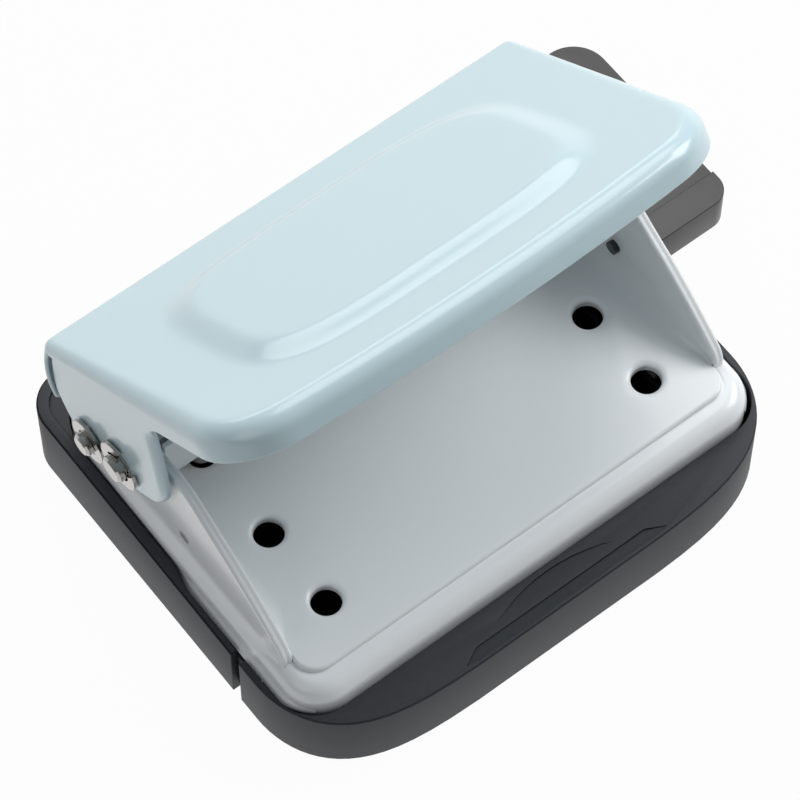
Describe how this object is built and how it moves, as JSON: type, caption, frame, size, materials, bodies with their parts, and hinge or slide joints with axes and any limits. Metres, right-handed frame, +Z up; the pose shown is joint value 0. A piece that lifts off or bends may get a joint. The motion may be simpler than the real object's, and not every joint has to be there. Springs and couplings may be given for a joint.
{
  "type": "desk hole punch",
  "caption": "Desk hole punch with a wide pressed lever, holed steel bed, return springs, pull-out chip drawer and side paper guide.",
  "frame": {"origin": "on the table, under the bed, midway between the two punches", "axes": "+X to the user's right along the lever, -Y to the front where paper goes in, +Z up from the table"},
  "size_m": [0.1477, 0.1053, 0.1016],
  "materials": {
    "lever_paint": "gloss enamel, light blue",
    "body_paint": "gloss enamel, white",
    "base_plastic": "satin, dark grey",
    "guide_plastic": "satin, brownish grey",
    "nickel": "nickel plated",
    "dark_steel": "plain hardened steel",
    "spring_steel": "drawn wire",
    "washer_plastic": "natural nylon",
    "zinc": "zinc plated",
    "foot_rubber": "matte black"
  },
  "bodies": {
    "frame": {"body": "body_paint", "die_plate": "zinc", "paper_stop": "zinc", "ear_studs": "dark_steel", "guide_posts": "nickel", "spring_cups": "zinc", "spring_left": "spring_steel", "spring_right": "spring_steel", "pivot_shaft": "nickel", "pivot_clips": "dark_steel", "pivot_washers": "washer_plastic", "base_shell": "base_plastic", "stand_offs": "zinc", "base_screws": "zinc", "rubber_sole": "foot_rubber", "guide_strap": "zinc"},
    "lever": {"lever": "lever_paint", "drive_shaft": "nickel", "drive_clips": "dark_steel", "drive_washers": "washer_plastic"},
    "press_bar": {"press_bar": "body_paint", "punches": "dark_steel"},
    "chip_drawer": {"chip_drawer": "base_plastic"},
    "paper_guide": {"paper_guide": "guide_plastic"}
  },
  "joints": [
    {"name": "lever_hinge", "type": "hinge", "parent": "frame", "child": "lever", "pos_m": [0, 0.0109, 0.0345], "axis": [1, 0, 0], "range_deg": [0, 38.9]},
    {"name": "press_slide", "type": "slide", "parent": "frame", "child": "press_bar", "axis": [0, 0, 1], "range_m": [-0.00803, 0], "stiffness_N_per_m": 1130, "springref_m": 0.004, "deforming": ["spring_left", "spring_right"]},
    {"name": "drawer_slide", "type": "slide", "parent": "frame", "child": "chip_drawer", "axis": [0, -1, 0], "range_m": [0, 0.04]},
    {"name": "guide_slide", "type": "slide", "parent": "frame", "child": "paper_guide", "axis": [1, 0, 0], "range_m": [-0.0255, 0]}
  ],
  "couplings": [
    {"joint": "press_slide", "follows": "lever_hinge", "m_per_rad": -0.011801}
  ]
}
